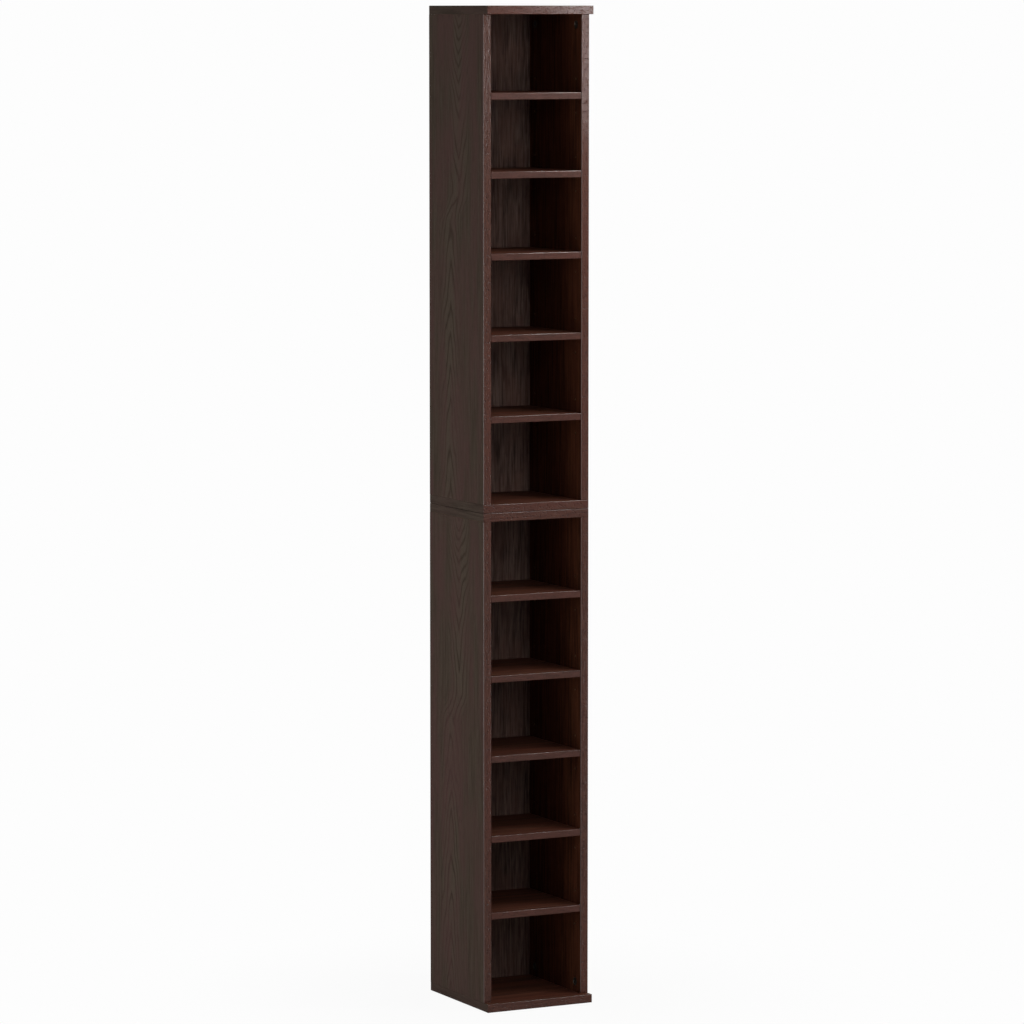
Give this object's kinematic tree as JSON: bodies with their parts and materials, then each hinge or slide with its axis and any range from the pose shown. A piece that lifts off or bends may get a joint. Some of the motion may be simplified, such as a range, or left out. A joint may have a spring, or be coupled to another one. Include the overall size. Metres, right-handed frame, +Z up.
{
  "type": "cd dvd storage tower",
  "caption": "Tall narrow open-fronted tower for CD and DVD cases: two stacked boxes with removable shelves, in dark woodgrain laminate.",
  "frame": {"origin": "on the floor, under the middle of the tower's overall width and depth", "axes": "+Z up, the open front faces -Y, +X is to the right seen from the front"},
  "size_m": [0.208, 0.23, 1.77],
  "materials": {
    "dark_laminate": "satin espresso woodgrain laminate on particle board",
    "shelf_laminate": "satin espresso woodgrain laminate on particle board",
    "back_panel_laminate": "printed espresso woodgrain on thin hardboard",
    "support_steel": "bright zinc-plated steel",
    "zinc": "die-cast zinc, dull",
    "beech": "bare beech"
  },
  "bodies": {
    "lower_box": {"lower_base_board": "dark_laminate", "lower_top_board": "dark_laminate", "lower_left_side": "dark_laminate", "lower_right_side": "dark_laminate", "lower_back_panel": "back_panel_laminate", "lower_shelf_1_left_wire": "support_steel", "lower_shelf_1_right_wire": "support_steel", "lower_shelf_2_left_wire": "support_steel", "lower_shelf_2_right_wire": "support_steel", "lower_shelf_3_left_wire": "support_steel", "lower_shelf_3_right_wire": "support_steel", "lower_shelf_4_left_wire": "support_steel", "lower_shelf_4_right_wire": "support_steel", "lower_shelf_5_left_wire": "support_steel", "lower_shelf_5_right_wire": "support_steel", "lower_cam_lock_front_left": "zinc", "lower_cam_lock_front_right": "zinc", "lower_cam_lock_rear_left": "zinc", "lower_cam_lock_rear_right": "zinc", "lower_cam_bolt_front_left": "support_steel", "lower_cam_bolt_front_right": "support_steel", "lower_cam_bolt_rear_left": "support_steel", "lower_cam_bolt_rear_right": "support_steel", "stack_dowel_front_left": "beech", "stack_dowel_front_right": "beech", "stack_dowel_rear_left": "beech", "stack_dowel_rear_right": "beech"},
    "lower_shelf_1": {"lower_shelf_1": "shelf_laminate"},
    "lower_shelf_2": {"lower_shelf_2": "shelf_laminate"},
    "lower_shelf_3": {"lower_shelf_3": "shelf_laminate"},
    "lower_shelf_4": {"lower_shelf_4": "shelf_laminate"},
    "lower_shelf_5": {"lower_shelf_5": "shelf_laminate"},
    "upper_box": {"upper_cap_board": "dark_laminate", "upper_bottom_board": "dark_laminate", "upper_left_side": "dark_laminate", "upper_right_side": "dark_laminate", "upper_back_panel": "back_panel_laminate", "upper_shelf_1_left_wire": "support_steel", "upper_shelf_1_right_wire": "support_steel", "upper_shelf_2_left_wire": "support_steel", "upper_shelf_2_right_wire": "support_steel", "upper_shelf_3_left_wire": "support_steel", "upper_shelf_3_right_wire": "support_steel", "upper_shelf_4_left_wire": "support_steel", "upper_shelf_4_right_wire": "support_steel", "upper_shelf_5_left_wire": "support_steel", "upper_shelf_5_right_wire": "support_steel", "upper_cam_lock_front_left": "zinc", "upper_cam_lock_front_right": "zinc", "upper_cam_lock_rear_left": "zinc", "upper_cam_lock_rear_right": "zinc", "upper_cam_bolt_front_left": "support_steel", "upper_cam_bolt_front_right": "support_steel", "upper_cam_bolt_rear_left": "support_steel", "upper_cam_bolt_rear_right": "support_steel"},
    "upper_shelf_1": {"upper_shelf_1": "shelf_laminate"},
    "upper_shelf_2": {"upper_shelf_2": "shelf_laminate"},
    "upper_shelf_3": {"upper_shelf_3": "shelf_laminate"},
    "upper_shelf_4": {"upper_shelf_4": "shelf_laminate"},
    "upper_shelf_5": {"upper_shelf_5": "shelf_laminate"}
  },
  "joints": [
    {"name": "upper_box_lift", "type": "slide", "parent": "lower_box", "child": "upper_box", "axis": [0, 0, 1], "range_m": [0, 0.03]},
    {"name": "lower_shelf_1_slide", "type": "slide", "parent": "lower_box", "child": "lower_shelf_1", "axis": [0, -1, 0], "range_m": [0, 0.178]},
    {"name": "lower_shelf_2_slide", "type": "slide", "parent": "lower_box", "child": "lower_shelf_2", "axis": [0, -1, 0], "range_m": [0, 0.178]},
    {"name": "lower_shelf_3_slide", "type": "slide", "parent": "lower_box", "child": "lower_shelf_3", "axis": [0, -1, 0], "range_m": [0, 0.178]},
    {"name": "lower_shelf_4_slide", "type": "slide", "parent": "lower_box", "child": "lower_shelf_4", "axis": [0, -1, 0], "range_m": [0, 0.178]},
    {"name": "lower_shelf_5_slide", "type": "slide", "parent": "lower_box", "child": "lower_shelf_5", "axis": [0, -1, 0], "range_m": [0, 0.178]},
    {"name": "upper_shelf_1_slide", "type": "slide", "parent": "upper_box", "child": "upper_shelf_1", "axis": [0, -1, 0], "range_m": [0, 0.178]},
    {"name": "upper_shelf_2_slide", "type": "slide", "parent": "upper_box", "child": "upper_shelf_2", "axis": [0, -1, 0], "range_m": [0, 0.178]},
    {"name": "upper_shelf_3_slide", "type": "slide", "parent": "upper_box", "child": "upper_shelf_3", "axis": [0, -1, 0], "range_m": [0, 0.178]},
    {"name": "upper_shelf_4_slide", "type": "slide", "parent": "upper_box", "child": "upper_shelf_4", "axis": [0, -1, 0], "range_m": [0, 0.178]},
    {"name": "upper_shelf_5_slide", "type": "slide", "parent": "upper_box", "child": "upper_shelf_5", "axis": [0, -1, 0], "range_m": [0, 0.178]}
  ]
}
